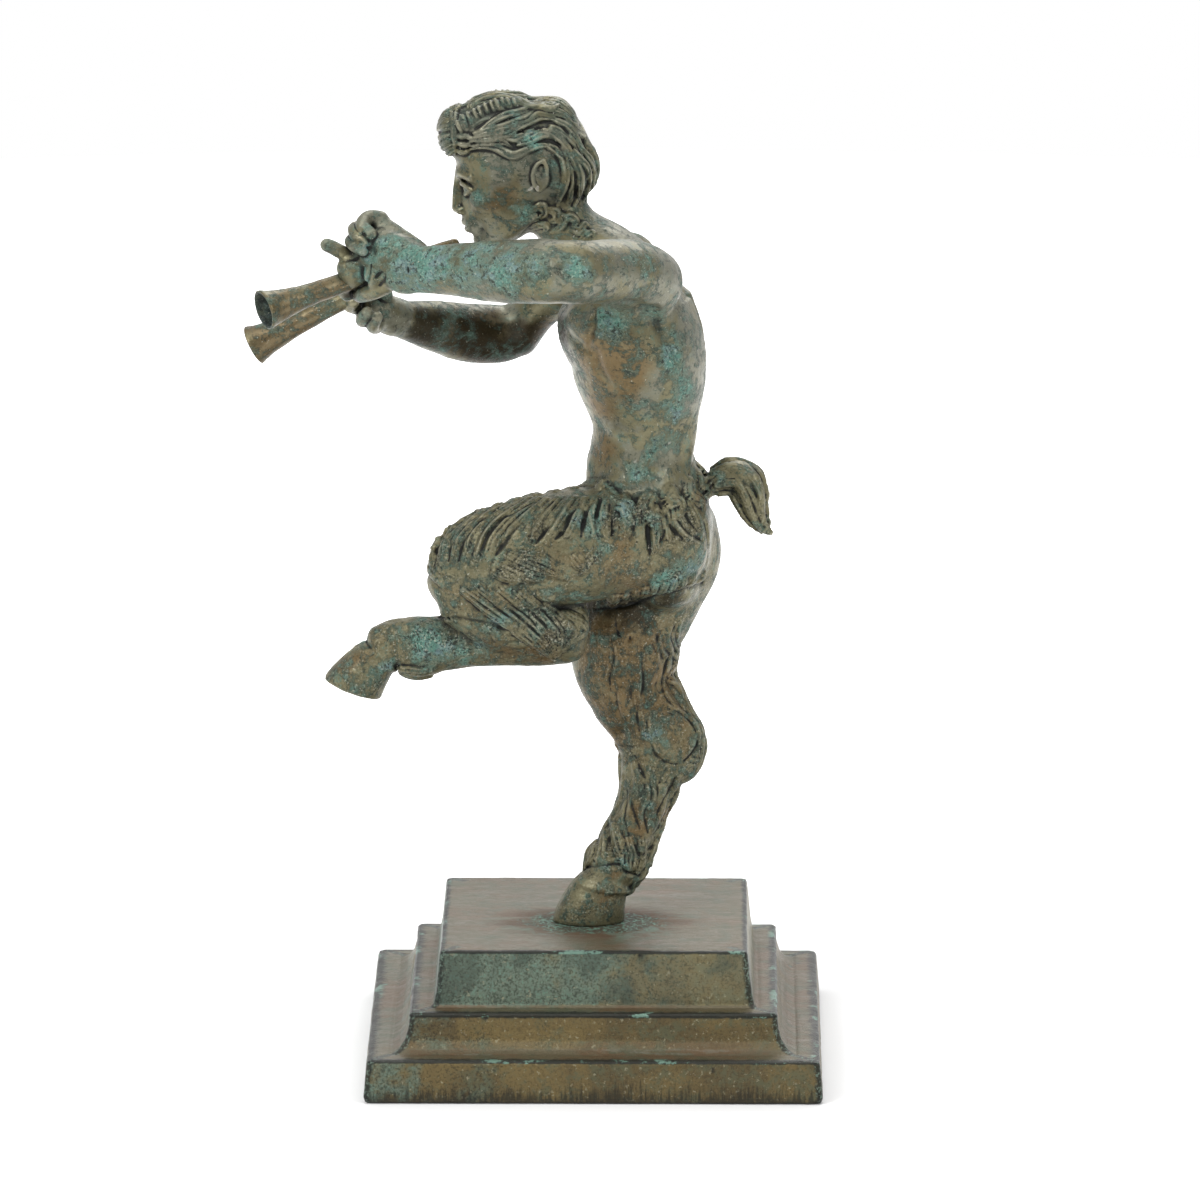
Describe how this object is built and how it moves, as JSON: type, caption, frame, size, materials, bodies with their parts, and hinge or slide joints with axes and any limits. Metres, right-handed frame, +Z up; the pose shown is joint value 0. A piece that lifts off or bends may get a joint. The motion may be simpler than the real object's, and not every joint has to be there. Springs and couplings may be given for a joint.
{
  "type": "bronze faun statuette",
  "caption": "Patinated bronze statuette of a goat-legged faun dancing with a raised leg and blowing double pipes, on a stepped square base.",
  "frame": {"origin": "centre of the square base's underside", "axes": "+Z up; the faun faces -X, with its left side and raised leg towards -Y"},
  "size_m": [0.1501, 0.1184, 0.2552],
  "materials": {
    "base_bronze": "old brown bronze patina with dark edges and pale green verdigris",
    "figure_bronze": "old olive-brown bronze patina with green verdigris patches and dark recesses"
  },
  "bodies": {
    "root": {"base": "base_bronze", "faun": "figure_bronze"}
  },
  "joints": []
}
